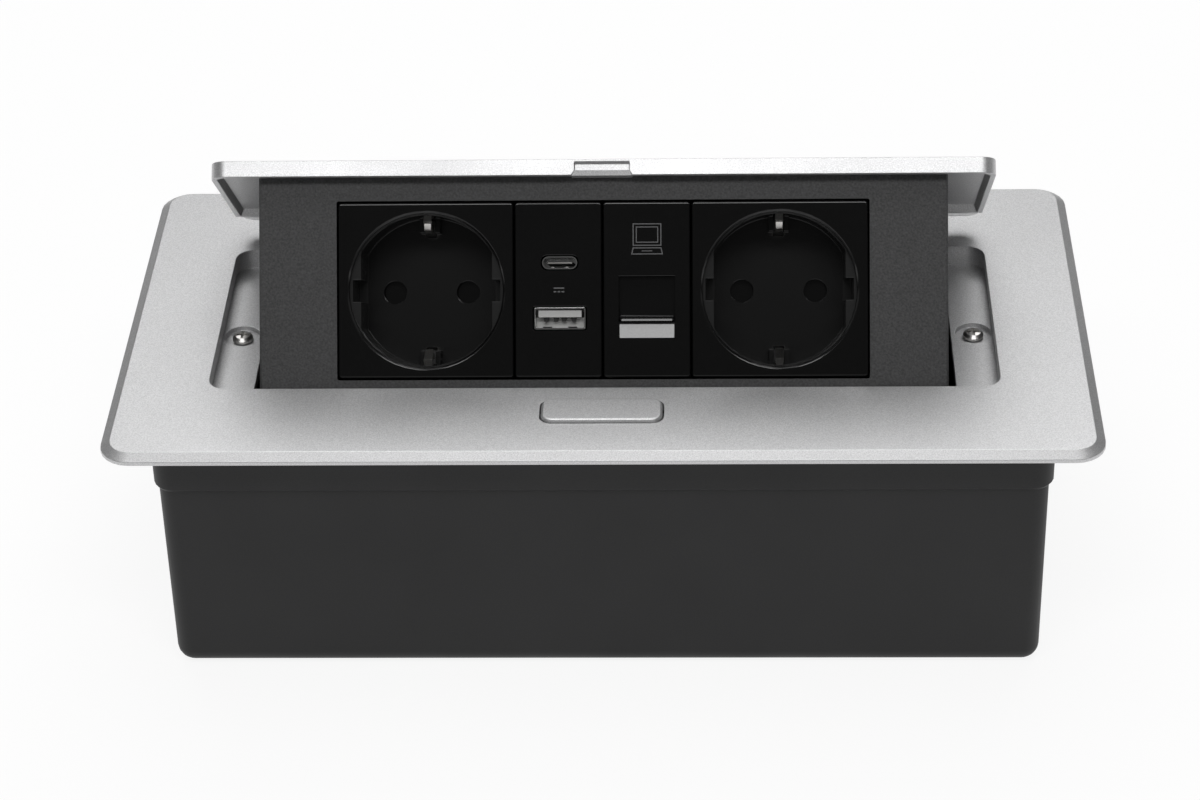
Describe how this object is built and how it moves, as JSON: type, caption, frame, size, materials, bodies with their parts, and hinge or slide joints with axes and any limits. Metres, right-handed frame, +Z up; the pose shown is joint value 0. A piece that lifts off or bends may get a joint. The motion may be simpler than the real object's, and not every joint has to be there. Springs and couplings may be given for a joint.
{
  "type": "in-desk power module",
  "caption": "In-desk power module with a sprung pop-up lid carrying earthed sockets, a USB charger and a data outlet, in a cast frame over a moulded housing",
  "frame": {"origin": "centre of the housing's underside, at the bottom centre of the bounding box", "axes": "+X to the right along the long side as the user sees it, +Y away from the user, +Z up"},
  "size_m": [0.2502, 0.13, 0.1201],
  "materials": {
    "satin_aluminium": "satin",
    "anthracite_paint": "fine_texture",
    "housing_plastic": "matte",
    "gloss_black_plastic": "gloss",
    "inner_plastic": "matte",
    "bright_steel": "bright",
    "brass": "satin",
    "white_plastic": "matte",
    "circuit_board": "satin",
    "label_grey": "satin",
    "black_rubber": "matte"
  },
  "bodies": {
    "desk_unit": {"bezel_frame": "satin_aluminium", "housing": "housing_plastic", "cable_gland": "black_rubber", "frame_screw_left": "bright_steel", "frame_screw_right": "bright_steel", "latch_carrier": "inner_plastic", "button_spring_left": "bright_steel", "button_spring_right": "bright_steel", "carrier_screw_left": "bright_steel", "carrier_screw_right": "bright_steel", "pivot_pin_left": "bright_steel", "pivot_pin_right": "bright_steel", "hinge_spring_left": "bright_steel", "hinge_spring_right": "bright_steel"},
    "pop_up": {"lid": "satin_aluminium", "fascia": "anthracite_paint", "carriage": "inner_plastic", "rear_cover": "inner_plastic", "socket_left_insert": "gloss_black_plastic", "socket_left_base": "inner_plastic", "socket_left_pin_sleeve_left": "brass", "socket_left_pin_sleeve_right": "brass", "socket_left_earth_yoke": "bright_steel", "socket_right_insert": "gloss_black_plastic", "socket_right_base": "inner_plastic", "socket_right_pin_sleeve_left": "brass", "socket_right_pin_sleeve_right": "brass", "socket_right_earth_yoke": "bright_steel", "usb_module": "gloss_black_plastic", "usb_a_shell": "bright_steel", "usb_a_tongue": "white_plastic", "usb_c_shell": "bright_steel", "usb_c_tongue": "inner_plastic", "usb_board": "circuit_board", "usb_converter": "inner_plastic", "usb_back_cover": "inner_plastic", "data_module": "gloss_black_plastic", "data_jack": "inner_plastic", "label_strip": "label_grey"},
    "button": {"release_button": "satin_aluminium"},
    "latch": {"latch_bolt": "bright_steel"},
    "shutter_left": {"socket_left_shutter": "gloss_black_plastic"},
    "shutter_right": {"socket_right_shutter": "gloss_black_plastic"},
    "dust_shutter": {"data_shutter": "gloss_black_plastic"}
  },
  "joints": [
    {"name": "pop_up_swing", "type": "hinge", "parent": "desk_unit", "child": "pop_up", "pos_m": [0, 0.04274, 0.0581], "axis": [1, 0, 0], "range_deg": [0, 43.4], "stiffness_Nm_per_rad": 0.25, "springref_deg": -68.75, "deforming": ["hinge_spring_left", "hinge_spring_right"]},
    {"name": "button_press", "type": "slide", "parent": "desk_unit", "child": "button", "axis": [0, 0, -1], "range_m": [0, 0.0008], "stiffness_N_per_m": 300, "springref_m": -0.002, "deforming": ["button_spring_left", "button_spring_right"]},
    {"name": "latch_slide", "type": "slide", "parent": "desk_unit", "child": "latch", "axis": [0, -1, 0], "range_m": [0, 0.0008]},
    {"name": "shutter_turn_left", "type": "hinge", "parent": "pop_up", "child": "shutter_left", "pos_m": [-0.045, -0.00229, 0.0791], "axis": [0, -0.8293, 0.5589], "range_deg": [0, 50], "stiffness_Nm_per_rad": 0.002, "springref_deg": -28.65},
    {"name": "shutter_turn_right", "type": "hinge", "parent": "pop_up", "child": "shutter_right", "pos_m": [0.045, -0.00229, 0.0791], "axis": [0, -0.8293, 0.5589], "range_deg": [0, 50], "stiffness_Nm_per_rad": 0.002, "springref_deg": -28.65},
    {"name": "dust_shutter_slide", "type": "slide", "parent": "pop_up", "child": "dust_shutter", "axis": [0, 0.5589, 0.8293], "range_m": [0, 0.0097], "stiffness_N_per_m": 20, "springref_m": -0.01}
  ],
  "couplings": [
    {"joint": "latch_slide", "follows": "button_press", "ratio": 1}
  ]
}
